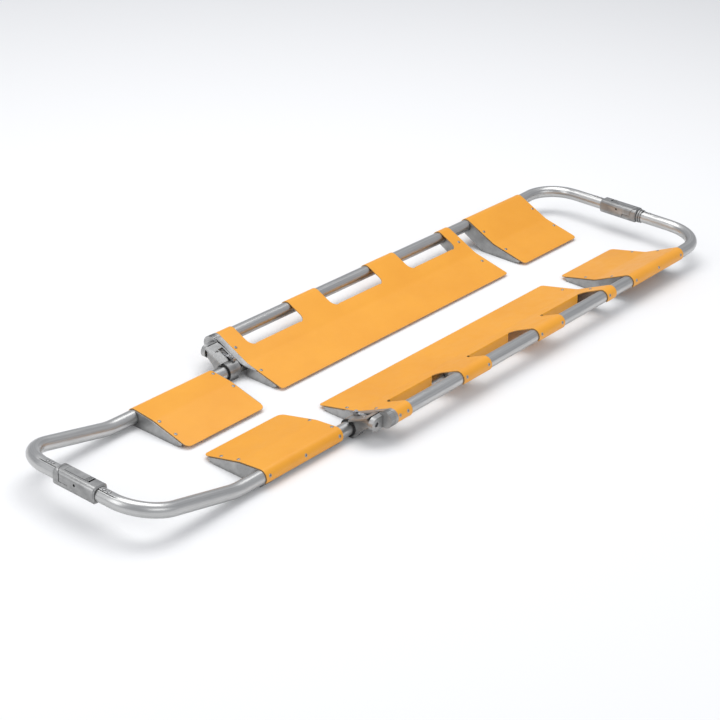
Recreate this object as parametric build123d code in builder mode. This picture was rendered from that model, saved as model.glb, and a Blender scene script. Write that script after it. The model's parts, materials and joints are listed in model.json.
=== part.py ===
"""Scoop stretcher: two mirrored aluminium halves with telescoping, folding foot sections.

X runs from the foot end to the head end, Y towards the left half and Z up, in millimetres.
The origin lies on the floor under the middle of the closed stretcher.  Every paired piece is
built once for the left half (+Y) and mirrored for the right half.
"""

from build123d import *
from math import atan2, cos, degrees, pi, radians, sin
import os

os.makedirs("parts", exist_ok=True)

# ---------------------------------------------------------------- driving dimensions
TUBE_R = 12.7  # one-inch tube, used for the rails and both bows
TUBE_WALL = 2.0
SHEET = 1.6  # panel sheet thickness
PAINT_GAP = 0.3  # between a tube and the sheet that wraps it

MAIN_RAIL_Y = 202.3
MAIN_RAIL_Z = 45.0
FOOT_RAIL_Y = 144.0
FOOT_RAIL_Z = 16.8

FOOT_BAR_X = -820.0  # centre line of the crossbar at each end
FOOT_BAR_Z = 60.3
HEAD_BAR_X = 820.0
HEAD_BAR_Z = 53.0
HEAD_RISE_X = 722.0  # where the rail starts its slight rise towards the head bar
HEAD_CORNER_Z = 49.0
HEAD_CORNER_R = 70.0
FOOT_RISE_X = -616.8  # where the foot tube starts to climb to its crossbar
FOOT_RISE_R = 120.0
FOOT_CORNER_Y = 141.4
FOOT_CORNER_R = 66.6
SLIGHT_BEND_R = 100.0
BAR_STRAIGHT_Y = 120.0  # the head crossbar is level from here to the coupling
BAR_INNER_Y = 40.0  # both crossbars end inside their couplings

FOOT_PANEL = (-556.0, -359.0)  # x of the two ends of each panel
MAIN_PANEL = (-284.0, 437.0)
HEAD_PANEL = (505.0, 710.0)
FOOT_PANEL_INNER = 17.0  # y of the free inner edge
MAIN_PANEL_INNER = 42.0
HEAD_PANEL_INNER = 44.5

HAND_SLOTS = ((-244.0, -89.0), (-3.0, 156.0), (245.0, 404.0))
SLOT_Y = 153.8  # inner edge of the hand slots
SLOT_CORNER_R = 14.0
LIP_BOTTOM_Z = 20.0  # how far down the folded lip of a slot reaches

WRAP_END = -35.0  # where the sheet's wrap round a rail ends, degrees above level
WRAP_R = TUBE_R + PAINT_GAP + SHEET

SLIDE_TRAVEL = 340.0
SLIDE_TAIL_X = 75.0  # head end of the sliding tube under the main panel
FOLD_X = -320.0  # pin of the fold joint
FOLD_Z = 41.0
FOLD_PIN_R = 4.5
RUNNING_FIT = 0.05  # radial clearance of pins and slides

COUPLING_HALF_X = 16.0  # half width of the coupling blocks along X
COUPLING_HALF_Z = 15.0
COUPLING_END_Y = 49.0  # where a coupling meets the tube on the lever's side
JAW_END_Y = 42.0  # and on the jaw's side
KNUCKLE_Y = 18.0  # vertical stud, off the middle towards the jaw
KNUCKLE_R = 18.0
KNUCKLE_GAP = 0.8
STUD_R = 5.0

RIVET_R = 3.2
RIVET_HEIGHT = 1.3


# ---------------------------------------------------------------- helpers
def save(piece, name):
    """Label one finished piece and write its file."""
    piece.label = name
    export_step(piece, f"parts/{name}.step")


def save_pair(piece, name):
    """Write a left-hand piece and its mirror image for the right half."""
    save(mirror(piece, about=Plane.XZ), f"right_{name}")
    save(piece, f"left_{name}")


def on_circle(centre, radius, angle):
    """Point of a circle in a (y, z) section, with the angle in degrees above level."""
    return (centre[0] + radius * cos(radians(angle)), centre[1] + radius * sin(radians(angle)))


def tangent_angle(point, centre, radius):
    """Angle of the spot where a line from an inboard point lands on top of a circle."""
    dy = centre[0] - point[0]
    dz = centre[1] - point[1]
    reach = (dy * dy + dz * dz) ** 0.5
    slope = degrees(atan2(dz, dy)) + degrees(atan2(radius, (reach * reach - radius * radius) ** 0.5))
    return 90.0 + slope


def section_rows(inner, knee, centre):
    """Key points of a panel's upper surface: inner edge, knee and landing on the rail."""
    angle = tangent_angle(knee, centre, WRAP_R)
    return inner, knee, on_circle(centre, WRAP_R, angle), angle


MAIN_CENTRE = (MAIN_RAIL_Y, MAIN_RAIL_Z)
FOOT_CENTRE = (FOOT_RAIL_Y, FOOT_RAIL_Z)
MAIN_KNEE = (127.0, 25.6)
FOOT_KNEE = (98.0, 27.0)
MAIN_ROWS = section_rows((MAIN_PANEL_INNER, 6.0), MAIN_KNEE, MAIN_CENTRE)
HEAD_ROWS = section_rows((HEAD_PANEL_INNER, 6.6), MAIN_KNEE, MAIN_CENTRE)
FOOT_ROWS = section_rows((FOOT_PANEL_INNER, 7.0), FOOT_KNEE, FOOT_CENTRE)
KNEE_R = 45.0


def surface_z(rows, y):
    """Height of a panel's upper surface at y, inboard of its rail."""
    inner, knee, landing, _ = rows
    a, b = (inner, knee) if y < knee[0] else (knee, landing)
    return a[1] + (b[1] - a[1]) * (y - a[0]) / (b[0] - a[0])


def bent_tube(points, radii, name):
    """A round tube swept along straight runs joined by tangent arcs."""
    with BuildPart() as tube:
        with BuildLine() as route:
            FilletPolyline(*points, radius=radii)
        start = Plane(origin=route.line @ 0, z_dir=route.line % 0)
        with BuildSketch(start):
            Circle(TUBE_R)
            Circle(TUBE_R - TUBE_WALL, mode=Mode.SUBTRACT)
        sweep()
    expected = pi * (TUBE_R**2 - (TUBE_R - TUBE_WALL) ** 2) * route.wires()[0].length
    print(f"{name}: volume {tube.part.volume:.0f}, section times length {expected:.0f}")
    return tube.part


BEYOND_Y = 300.0  # a y past every rail, where cutting outlines may end


def panel(ends, rows, centre, corner_r, slots=()):
    """Bent sheet panel: two slopes, a wrap round its rail, and optional hand slots."""
    inner, knee, landing, angle = rows
    with BuildPart() as sheet:
        with BuildSketch(Plane.YZ.offset(ends[0])):
            with BuildLine():
                slopes = FilletPolyline(inner, knee, landing, radius=KNEE_R)
                CenterArc(centre, WRAP_R, angle, WRAP_END - angle)
                offset(amount=SHEET, side=Side.RIGHT)
            make_face()
        extrude(amount=ends[1] - ends[0])
        with BuildSketch(Plane.XY.offset(-10)):
            with Locations(((ends[0] + ends[1]) / 2, (inner[0] + BEYOND_Y) / 2)):
                RectangleRounded(ends[1] - ends[0], BEYOND_Y - inner[0], corner_r)
            for slot in slots:
                with Locations(((slot[0] + slot[1]) / 2, (SLOT_Y + BEYOND_Y) / 2)):
                    width = slot[1] - slot[0]
                    RectangleRounded(width, BEYOND_Y - SLOT_Y, SLOT_CORNER_R, mode=Mode.SUBTRACT)
        extrude(amount=120, mode=Mode.INTERSECT)
        for slot in slots:
            lip_top = surface_z(rows, SLOT_Y)
            with BuildSketch(Plane.YZ.offset(slot[0] + SLOT_CORNER_R)):
                with BuildLine():
                    Polyline(
                        (SLOT_Y - 2.0, lip_top - 1.4),
                        (SLOT_Y, lip_top - 0.4),
                        (SLOT_Y + 5.9, LIP_BOTTOM_Z),
                        (SLOT_Y + 4.3, LIP_BOTTOM_Z - 0.5),
                        close=True,
                    )
                make_face()
            extrude(amount=slot[1] - slot[0] - 2 * SLOT_CORNER_R)
    return sheet.part


BRACKET_DEPTH = 24.0  # how far a bracket reaches under its panel
BRACKET_WEB = 4.0  # thickness of its end wall and of the walls round its pocket
BRACKET_RIM = 2.5  # how far its face stands out from the panel's end
TIP_INSET = 13.0  # the casting's thin tip stops this far from the panel's inner edge
TIP_DEPTH = 3.0
TIP_RUN = 16.0  # over which the bottom comes down from the tip to the floor
UNDER_GAP = 0.1


def bracket(x_face, into, rows, centre, tail_points):
    """Wedge-shaped end casting under a panel, pocketed from its hidden side.

    into is +1 where the panel lies on the +X side of the face, -1 on the other side.
    """
    inner, knee, landing, angle = rows
    drop = SHEET + UNDER_GAP
    low = degrees(atan2(knee[1] - inner[1], knee[0] - inner[0]))
    tip_y = inner[0] + TIP_INSET
    top_tip = (tip_y, surface_z(rows, tip_y) - drop / cos(radians(low)))
    under_knee = (knee[0] + 0.4, knee[1] - drop - 0.1)
    under_rail = on_circle(centre, WRAP_R - drop, angle)
    with BuildPart() as casting:
        with BuildSketch(Plane.YZ.offset(x_face - into * BRACKET_RIM)) as outline:
            with BuildLine():
                Polyline(
                    (tip_y + TIP_RUN, 0),
                    (tip_y, top_tip[1] - TIP_DEPTH),
                    top_tip,
                    under_knee,
                    under_rail,
                    *tail_points,
                    close=True,
                )
            make_face()
            with Locations(centre):
                Circle(TUBE_R, mode=Mode.SUBTRACT)
        extrude(amount=into * (BRACKET_DEPTH + BRACKET_RIM))
        with BuildSketch(Plane.YZ.offset(x_face + into * BRACKET_WEB)):
            offset(outline.sketch.faces().sort_by(Axis.Y)[0], amount=-BRACKET_WEB)
        extrude(amount=into * BRACKET_DEPTH, mode=Mode.SUBTRACT)
    return casting.part


def rivet(spot, direction):
    """Domed rivet head standing on a surface at a spot, along the surface's normal."""
    with BuildPart() as head:
        with BuildSketch(Plane(origin=spot, x_dir=(1, 0, 0), z_dir=direction)):
            Circle(RIVET_R)
        extrude(amount=RIVET_HEIGHT)
        fillet(head.edges().group_by(Axis(spot, direction))[-1], RIVET_HEIGHT * 0.7)
    return head.part


def slope_normal(a, b):
    """Upward normal of the sloping surface through two (y, z) points."""
    length = ((b[0] - a[0]) ** 2 + (b[1] - a[1]) ** 2) ** 0.5
    return (0, -(b[1] - a[1]) / length, (b[0] - a[0]) / length)


def panel_rivets(places, rows):
    """Rivet heads on a panel's upper surface, as a list of solids."""
    inner, knee, landing, _ = rows
    heads = []
    for x, y in places:
        a, b = (inner, knee) if y < knee[0] else (knee, landing)
        heads.append(rivet((x, y, surface_z(rows, y)), slope_normal(a, b)))
    return heads


def seated_rivet(spot, direction, bar, radius):
    """Rivet head whose seat is hollowed to sit on a round bar; bar is the bar's axis."""
    with BuildPart() as head:
        add(rivet(spot, direction))
        with BuildSketch(bar):
            Circle(radius)
        extrude(amount=RIVET_R * 2, both=True, mode=Mode.SUBTRACT)
    return head.part


def wrap_rivets(x_places, centre, angle):
    """Rivet heads on the outer side of the wrap round a rail."""
    out = (0, cos(radians(angle)), sin(radians(angle)))
    y, z = on_circle(centre, WRAP_R - 0.4, angle)
    return [
        seated_rivet((x, y, z), out, Plane(origin=(x, *centre), z_dir=(1, 0, 0)), WRAP_R)
        for x in x_places
    ]


def group(pieces):
    """Separate solids kept together as one node."""
    return Compound(children=[piece.solid() for piece in pieces])


FLUTE_ANGLE = 112.0  # where the pressed flute lies round the crossbar, degrees from +X
FLUTE_Y = (53.0, 90.0)
FLUTE_R = 2.2
FLUTE_DEPTH = 1.2


def flute(bar_x, bar_z):
    """Round-ended cutter for the flute pressed into a crossbar beside its coupling."""
    reach = TUBE_R + FLUTE_R - FLUTE_DEPTH
    x = bar_x + reach * cos(radians(FLUTE_ANGLE))
    z = bar_z + reach * sin(radians(FLUTE_ANGLE))
    with BuildPart() as cutter:
        with BuildSketch(Plane.XZ.offset(-FLUTE_Y[0])):
            with Locations((x, z)):
                Circle(FLUTE_R)
        extrude(amount=FLUTE_Y[0] - FLUTE_Y[1])
        with Locations((x, FLUTE_Y[0], z), (x, FLUTE_Y[1], z)):
            Sphere(FLUTE_R)
    return cutter.part


# ---------------------------------------------------------------- tubes
RAIL_FOOT_END = -296.0
side_rail = bent_tube(
    [
        (RAIL_FOOT_END, MAIN_RAIL_Y, MAIN_RAIL_Z),
        (HEAD_RISE_X, MAIN_RAIL_Y, MAIN_RAIL_Z),
        (HEAD_BAR_X, MAIN_RAIL_Y, HEAD_CORNER_Z),
        (HEAD_BAR_X, BAR_STRAIGHT_Y, HEAD_BAR_Z),
        (HEAD_BAR_X, BAR_INNER_Y, HEAD_BAR_Z),
    ],
    [SLIGHT_BEND_R, HEAD_CORNER_R, SLIGHT_BEND_R],
    "side rail",
)
with BuildPart() as fluted_rail:
    add(side_rail)
    add(flute(HEAD_BAR_X, HEAD_BAR_Z), mode=Mode.SUBTRACT)
save_pair(fluted_rail.part, "side_rail")

PLUNGER_X = -308.5
PLUNGER_R = 3.0
DETENTS = 5  # lock holes along the sliding tube, evenly spaced over its travel
foot_tube = bent_tube(
    [
        (SLIDE_TAIL_X, FOOT_RAIL_Y, FOOT_RAIL_Z),
        (FOOT_RISE_X, FOOT_RAIL_Y, FOOT_RAIL_Z),
        (FOOT_BAR_X, FOOT_CORNER_Y, FOOT_BAR_Z),
        (FOOT_BAR_X, BAR_INNER_Y, FOOT_BAR_Z),
    ],
    [FOOT_RISE_R, FOOT_CORNER_R],
    "foot tube",
)
with BuildPart() as drilled_tube:
    add(foot_tube)
    add(flute(FOOT_BAR_X, FOOT_BAR_Z), mode=Mode.SUBTRACT)
    with BuildSketch(Plane.XY.offset(FOOT_RAIL_Z + 5)):
        step = SLIDE_TRAVEL / (DETENTS - 1)
        with Locations([(PLUNGER_X + i * step, FOOT_RAIL_Y) for i in range(DETENTS)]):
            Circle(PLUNGER_R + 0.3)
    extrude(amount=12, mode=Mode.SUBTRACT)
save_pair(drilled_tube.part, "foot_tube")

with BuildPart() as tail_plug:
    with BuildSketch(Plane.YZ.offset(SLIDE_TAIL_X - 12)):
        with Locations(FOOT_CENTRE):
            Circle(TUBE_R - TUBE_WALL)
    extrude(amount=12)
    with BuildSketch(Plane.YZ.offset(SLIDE_TAIL_X)):
        with Locations(FOOT_CENTRE):
            Circle(TUBE_R - 0.3)
    extrude(amount=3)
    chamfer(tail_plug.faces().sort_by(Axis.X)[-1].edges(), 1)
save_pair(tail_plug.part, "tail_plug")

# ---------------------------------------------------------------- panels
save_pair(panel(MAIN_PANEL, MAIN_ROWS, MAIN_CENTRE, 6, HAND_SLOTS), "main_panel")
save_pair(panel(HEAD_PANEL, HEAD_ROWS, MAIN_CENTRE, 9), "head_panel")
save_pair(panel(FOOT_PANEL, FOOT_ROWS, FOOT_CENTRE, 11), "foot_panel")

# ---------------------------------------------------------------- brackets
MAIN_TAIL = [(MAIN_RAIL_Y + 4, MAIN_RAIL_Z - 6), (MAIN_RAIL_Y, MAIN_RAIL_Z - 17), (150, 0)]
FOOT_TAIL = [(FOOT_RAIL_Y + 4, FOOT_RAIL_Z - 6), (FOOT_RAIL_Y + 4, 0)]
save_pair(bracket(MAIN_PANEL[1], -1, MAIN_ROWS, MAIN_CENTRE, MAIN_TAIL), "main_head_bracket")
save_pair(bracket(HEAD_PANEL[0], 1, HEAD_ROWS, MAIN_CENTRE, MAIN_TAIL), "head_panel_foot_bracket")
save_pair(bracket(HEAD_PANEL[1], -1, HEAD_ROWS, MAIN_CENTRE, MAIN_TAIL), "head_panel_head_bracket")
save_pair(bracket(FOOT_PANEL[1], -1, FOOT_ROWS, FOOT_CENTRE, FOOT_TAIL), "foot_panel_main_bracket")
save_pair(bracket(FOOT_PANEL[0], 1, FOOT_ROWS, FOOT_CENTRE, FOOT_TAIL), "foot_panel_foot_bracket")

# ---------------------------------------------------------------- fold housing on the main rail
HOUSING_EDGE_X = -297.0  # foot-side edge of its top plate
SOCKET_R = WRAP_R + 0.5
SOCKET_END_X = -304.0
LUG_Y = (188.5, 198.0)  # outer lug that holds the fold pin
LUG_R = 12.5
PLATE = 1.8
LUG_ROOT_X = -293.0  # the lug runs into the rail's socket up to here
ARM_END_Y = 124.0  # the wedge arm stops here, short of the sliding tube


def plate_rows(y, drop):
    """Point of the main panel's section at y, lowered square to the slope by drop."""
    steep = slope_normal(MAIN_KNEE, MAIN_ROWS[2]) if y > MAIN_KNEE[0] else slope_normal(*MAIN_ROWS[:2])
    return (y, surface_z(MAIN_ROWS, y) - drop / steep[2])


def top_plate():
    """Sloping plate that carries the panel's surface on over the sliding tube."""
    with BuildPart() as plate:
        with BuildSketch(Plane.YZ.offset(HOUSING_EDGE_X)):
            with BuildLine():
                Polyline(
                    plate_rows(98, 0),
                    MAIN_KNEE,
                    plate_rows(194, 0),
                    plate_rows(194, PLATE),
                    plate_rows(MAIN_KNEE[0] + 0.3, PLATE),
                    plate_rows(98, PLATE),
                    close=True,
                )
            make_face()
        extrude(amount=MAIN_PANEL[0] - 0.2 - HOUSING_EDGE_X)
        with BuildSketch(Plane.XY):
            with BuildLine():
                Polyline(
                    (HOUSING_EDGE_X, 200),
                    (HOUSING_EDGE_X, 134),
                    (MAIN_PANEL[0] - BRACKET_RIM, 104),
                    (MAIN_PANEL[0], 104),
                    (MAIN_PANEL[0], 200),
                    close=True,
                )
            make_face()
        extrude(amount=80, mode=Mode.INTERSECT)
    return plate.part


RIBS = 28  # fine ribs round the knob at the rail's end
RIB_DEPTH = 0.7
RIB_WIDTH = 1.5
KNOB_LENGTH = 13.0
with BuildPart() as fold_housing:
    # wedge arm under the main panel's end
    with BuildSketch(Plane.YZ.offset(MAIN_PANEL[0] - BRACKET_RIM)) as arm_outline:
        with BuildLine():
            Polyline(
                (MAIN_PANEL_INNER + TIP_INSET + TIP_RUN, 0),
                plate_rows(MAIN_PANEL_INNER + TIP_INSET, SHEET + UNDER_GAP + TIP_DEPTH),
                plate_rows(MAIN_PANEL_INNER + TIP_INSET, SHEET + UNDER_GAP),
                plate_rows(ARM_END_Y, SHEET + UNDER_GAP),
                (ARM_END_Y, 0),
                close=True,
            )
        make_face()
    extrude(amount=BRACKET_DEPTH + BRACKET_RIM)
    with BuildSketch(Plane.YZ.offset(MAIN_PANEL[0] + BRACKET_WEB)):
        offset(arm_outline.sketch.face(), amount=-BRACKET_WEB)
    extrude(amount=BRACKET_DEPTH, mode=Mode.SUBTRACT)
    # web from the rail's socket down towards the sliding tube
    with BuildSketch(Plane.YZ.offset(HOUSING_EDGE_X)):
        with BuildLine():
            Polyline(
                plate_rows(163, SHEET + UNDER_GAP),
                plate_rows(192, SHEET + UNDER_GAP),
                (MAIN_RAIL_Y, MAIN_RAIL_Z),
                (MAIN_RAIL_Y, MAIN_RAIL_Z - TUBE_R - 2.5),
                (163, 16),
                close=True,
            )
        make_face()
    extrude(amount=MAIN_PANEL[0] + BRACKET_DEPTH - HOUSING_EDGE_X)
    add(top_plate())
    # rail socket: a closed ribbed knob at the rail's end, then a plain rim beside the panel
    with BuildSketch(Plane.YZ.offset(SOCKET_END_X)):
        with Locations(MAIN_CENTRE):
            Circle(SOCKET_R - RIB_DEPTH)
            with PolarLocations(SOCKET_R - RIB_DEPTH, RIBS):
                Rectangle(2 * RIB_DEPTH, RIB_WIDTH)
    extrude(amount=KNOB_LENGTH)
    with BuildSketch(Plane.YZ.offset(SOCKET_END_X + KNOB_LENGTH)):
        with Locations(MAIN_CENTRE):
            Circle(SOCKET_R)
    extrude(amount=MAIN_PANEL[0] - 0.2 - SOCKET_END_X - KNOB_LENGTH)
    # outer lug round the fold pin
    with BuildSketch(Plane.XZ.offset(-LUG_Y[1])):
        with Locations((FOLD_X, FOLD_Z)):
            Circle(LUG_R)
        with Locations(((FOLD_X + LUG_ROOT_X) / 2, FOLD_Z)):
            Rectangle(LUG_ROOT_X - FOLD_X, 2 * LUG_R)
    extrude(amount=LUG_Y[1] - LUG_Y[0])
    # bores for the rail and the pin
    with BuildSketch(Plane.YZ.offset(RAIL_FOOT_END)):
        with Locations(MAIN_CENTRE):
            Circle(TUBE_R)
    extrude(amount=100, mode=Mode.SUBTRACT)
    with BuildSketch(Plane.XZ.offset(-LUG_Y[1] - 1)):
        with Locations((FOLD_X, FOLD_Z)):
            Circle(FOLD_PIN_R)
    extrude(amount=LUG_Y[1] - LUG_Y[0] + 2, mode=Mode.SUBTRACT)
save_pair(fold_housing.part, "fold_housing")

EYE_Y = (172.5, 186.5)
with BuildPart() as fold_pin:
    with BuildSketch(Plane.XZ.offset(-LUG_Y[1] + 3)):
        with Locations((FOLD_X, FOLD_Z)):
            Circle(FOLD_PIN_R)
    extrude(amount=LUG_Y[1] - 3 - EYE_Y[0] + 2)
    with BuildSketch(Plane.XZ.offset(-EYE_Y[0] + 0.4)):
        with Locations((FOLD_X, FOLD_Z)):
            Circle(FOLD_PIN_R + 1.5)
    extrude(amount=1.6)
save_pair(fold_pin.part, "fold_pin")

with BuildPart() as slide_guide:
    with BuildSketch(Plane.YZ.offset(-62)):
        with BuildLine():
            Polyline(
                plate_rows(146, SHEET + UNDER_GAP),
                plate_rows(163, SHEET + UNDER_GAP),
                (163, 10),
                (FOOT_RAIL_Y + 10, 10),
                (FOOT_RAIL_Y, FOOT_RAIL_Z),
                close=True,
            )
        make_face()
        with Locations(FOOT_CENTRE):
            Circle(TUBE_R + 0.4, mode=Mode.SUBTRACT)
    extrude(amount=32)
save_pair(slide_guide.part.solids().sort_by(SortBy.VOLUME)[-1], "slide_guide")

# ---------------------------------------------------------------- folding slide carrier
BARREL_X = (-328.0, -300.0)
BARREL_R = FOOT_RAIL_Z  # the barrel just reaches the floor
BUSH_R = 14.2
EYE_R = 8.5
LEVER_PIVOT = (156.0, 37.2)  # y and z of the lock lever's pin
LEVER_PIN_R = 1.6
LOCK_X = (-310.5, -303.8)  # the lock lever's two faces
SHIELD_X = -334.0  # foot-side edge of the carrier's sloping plate
SHIELD_Y = (147.0, 186.0)
SHIELD_R = 22.3  # the plate's head-side end swings round the fold pin inside this radius
SHIELD_DEPTH = 3.0
LEVER_PIN_X = -322.0  # inner end of the lever's pin, inside the wall
WALL_X = (-328.0, -313.2)  # closed wall between the barrel and the plate
WINDOW_X = (-313.2, -301.4)  # the plate's window for the lock lever
WINDOW_Y = (135.0, 174.0)
WINDOW_Z = 33.8  # just above the barrel


def shield():
    """Sloping plate that carries the main panel's surface on over the joint."""
    with BuildPart() as plate:
        with BuildSketch(Plane.YZ.offset(SHIELD_X)):
            with BuildLine():
                Polyline(
                    plate_rows(SHIELD_Y[0], 0),
                    plate_rows(SHIELD_Y[1], 0),
                    plate_rows(SHIELD_Y[1], SHIELD_DEPTH),
                    plate_rows(SHIELD_Y[0], SHIELD_DEPTH),
                    close=True,
                )
            make_face()
        extrude(amount=FOLD_X + SHIELD_R - SHIELD_X)
        # the head-side end is rounded about the fold pin
        with BuildSketch(Plane.XZ.offset(-SHIELD_Y[1] - 5)):
            with Locations((FOLD_X, FOLD_Z)):
                Circle(SHIELD_R)
            with Locations((FOLD_X - SHIELD_R, FOLD_Z)):
                Rectangle(2 * SHIELD_R, 2 * SHIELD_R)
        extrude(amount=60, mode=Mode.INTERSECT)
    return plate.part


shield_plate = shield()
with BuildPart() as slide_carrier:
    with BuildSketch(Plane.YZ.offset(BARREL_X[0])):
        with Locations(FOOT_CENTRE):
            Circle(BARREL_R)
        with Locations((FOOT_RAIL_Y, BARREL_R / 2)):
            Rectangle(BARREL_R * 1.3, BARREL_R)
    extrude(amount=BARREL_X[1] - BARREL_X[0])
    # closed wall from the barrel up to the plate
    with BuildSketch(Plane.YZ.offset(WALL_X[0])):
        with BuildLine():
            Polyline(
                (FOOT_RAIL_Y, 3),
                (FOOT_RAIL_Y, FOOT_RAIL_Z + BUSH_R + 1),
                plate_rows(SHIELD_Y[0], 1),
                plate_rows(SHIELD_Y[1], 1),
                (SHIELD_Y[1], FOLD_Z - EYE_R),
                (EYE_Y[0], 22),
                (158, 3),
                close=True,
            )
        make_face()
    extrude(amount=WALL_X[1] - WALL_X[0])
    add(shield_plate)
    with BuildSketch(Plane.XZ.offset(-EYE_Y[1])):
        with Locations((FOLD_X, FOLD_Z)):
            Circle(EYE_R)
    extrude(amount=EYE_Y[1] - EYE_Y[0])
    # nothing stands above the plate's surface
    with BuildSketch(Plane.YZ.offset(SHIELD_X - 1)):
        with BuildLine():
            Polyline(
                plate_rows(SHIELD_Y[0] + 3, 0),
                plate_rows(SHIELD_Y[1] + 2, 0),
                plate_rows(SHIELD_Y[1] + 2, -20),
                plate_rows(SHIELD_Y[0] + 3, -20),
                close=True,
            )
        make_face()
    extrude(amount=60, mode=Mode.SUBTRACT)
    # window for the lock lever
    with BuildSketch(Plane.XY.offset(WINDOW_Z)):
        with Locations(((WINDOW_X[0] + WINDOW_X[1]) / 2, (WINDOW_Y[0] + WINDOW_Y[1]) / 2)):
            Rectangle(WINDOW_X[1] - WINDOW_X[0], WINDOW_Y[1] - WINDOW_Y[0])
    extrude(amount=30, mode=Mode.SUBTRACT)
    # bores: bush, fold pin, plunger, lever pin
    with BuildSketch(Plane.YZ.offset(BARREL_X[0] - 1)):
        with Locations(FOOT_CENTRE):
            Circle(BUSH_R)
    extrude(amount=BARREL_X[1] - BARREL_X[0] + 2, mode=Mode.SUBTRACT)
    with BuildSketch(Plane.XZ.offset(-EYE_Y[1] - 1)):
        with Locations((FOLD_X, FOLD_Z)):
            Circle(FOLD_PIN_R + RUNNING_FIT)
    extrude(amount=EYE_Y[1] - EYE_Y[0] + 2, mode=Mode.SUBTRACT)
    with BuildSketch(Plane.XZ.offset(-EYE_Y[0] + 0.01)):
        with Locations((FOLD_X, FOLD_Z)):
            Circle(FOLD_PIN_R + 2.2)
    extrude(amount=3, mode=Mode.SUBTRACT)
    with BuildSketch(Plane.XY.offset(FOOT_RAIL_Z + 5)):
        with Locations((PLUNGER_X, FOOT_RAIL_Y)):
            Circle(PLUNGER_R + RUNNING_FIT)
    extrude(amount=20, mode=Mode.SUBTRACT)
    with BuildSketch(Plane.YZ.offset(LEVER_PIN_X)):
        with Locations(LEVER_PIVOT):
            Circle(LEVER_PIN_R)
    extrude(amount=WALL_X[1] - LEVER_PIN_X, mode=Mode.SUBTRACT)
save_pair(slide_carrier.part, "slide_carrier")

with BuildPart() as slide_bush:
    with BuildSketch(Plane.YZ.offset(BARREL_X[0] - 1.5)):
        with Locations(FOOT_CENTRE):
            Circle(BARREL_R - 1.2)
            Circle(TUBE_R + RUNNING_FIT, mode=Mode.SUBTRACT)
    extrude(amount=1.5)
    with BuildSketch(Plane.YZ.offset(BARREL_X[0])):
        with Locations(FOOT_CENTRE):
            Circle(BUSH_R)
            Circle(TUBE_R + RUNNING_FIT, mode=Mode.SUBTRACT)
    extrude(amount=BARREL_X[1] - BARREL_X[0])
    with BuildSketch(Plane.XY.offset(FOOT_RAIL_Z + 5)):
        with Locations((PLUNGER_X, FOOT_RAIL_Y)):
            Circle(PLUNGER_R + 0.3)
    extrude(amount=20, mode=Mode.SUBTRACT)
save_pair(slide_bush.part, "slide_bush")

with BuildPart() as lock_lever:
    with BuildSketch(Plane.YZ.offset(LOCK_X[0])):
        with BuildLine():
            Polyline(
                (138, 34.6),
                (160, 34.6),
                (166, 36.2),
                (171, 36.8),
                (172, 39),
                (166, 40.6),
                (160, 40),
                (138, 40),
                close=True,
            )
        make_face()
        with Locations(LEVER_PIVOT):
            Circle(3.6)
            Circle(LEVER_PIN_R + RUNNING_FIT, mode=Mode.SUBTRACT)
    extrude(amount=LOCK_X[1] - LOCK_X[0])
    with BuildSketch(Plane.XY.offset(30)):
        with Locations((PLUNGER_X, FOOT_RAIL_Y)):
            SlotCenterToCenter(4, 2 * (PLUNGER_R - 1.2), rotation=90)
    extrude(amount=20, mode=Mode.SUBTRACT)
save_pair(lock_lever.part, "lock_lever")

with BuildPart() as lock_lever_pin:
    with BuildSketch(Plane.YZ.offset(LEVER_PIN_X)):
        with Locations(LEVER_PIVOT):
            Circle(LEVER_PIN_R)
    extrude(amount=LOCK_X[1] + 0.4 - LEVER_PIN_X)
    with BuildSketch(Plane.YZ.offset(LOCK_X[1] + 0.4)):
        with Locations(LEVER_PIVOT):
            Circle(2.6)
    extrude(amount=1.2)
save_pair(lock_lever_pin.part, "lock_lever_pin")

with BuildPart() as lock_lever_spring:
    with BuildSketch(Plane.YZ.offset(WALL_X[1] + 0.2)):
        with Locations(LEVER_PIVOT):
            Circle(3.2)
            Circle(LEVER_PIN_R + 0.3, mode=Mode.SUBTRACT)
    extrude(amount=2.2)
save_pair(lock_lever_spring.part, "lock_lever_spring")

STEM_R = 1.4
with BuildPart() as lock_plunger:
    with BuildSketch(Plane.XY.offset(FOOT_RAIL_Z + TUBE_R + 0.3)):
        with Locations((PLUNGER_X, FOOT_RAIL_Y)):
            Circle(PLUNGER_R)
    extrude(amount=4.0)
    with BuildSketch(Plane.XY.offset(FOOT_RAIL_Z + TUBE_R + 4.3)):
        with Locations((PLUNGER_X, FOOT_RAIL_Y)):
            Circle(STEM_R)
    extrude(amount=7.6)
    with BuildSketch(Plane.XY.offset(41.3)):
        with Locations((PLUNGER_X, FOOT_RAIL_Y)):
            Circle(3.4)
    extrude(amount=1.8)
save_pair(lock_plunger.part, "lock_plunger")

# ---------------------------------------------------------------- couplings
PARTING = -2.3  # height of the lap's parting plane from the bar's centre line
POCKET_FLOOR = 9.0
LEVER_PIN_Y = -7.0
LEVER_PIN_Z = 4.5  # above the bar's centre line
COLLAR_RINGS = ((42.0, 13.6, 2.0), (44.0, 15.0, 3.0), (47.0, 13.6, 2.0), (49.0, 14.6, 3.0))
COLLAR_END_Y = 52.0
GRIP_GROOVES_Y = (-23.5, -21.0, -18.5)
LATCH_X = (-4.0, 14.0)  # the latch lever's two sides, from the bar's centre line
LATCH_Y = (-26.0, 26.0)
HUB_R = 5.4
LATCH_PIN_R = 2.4
SHANK_R = TUBE_R - TUBE_WALL
SHANK_END_Y = 72.0
LEVER_POCKET = (-29.5, 26.5, POCKET_FLOOR)  # y range and floor height of each pocket
THUMB_POCKET = (-29.5, -13.0, 4.0)
HUB_POCKET = (-13.2, -0.8, -1.3)
LATCH_GAP = 0.9  # between the latch lever's sides and its pocket
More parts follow.
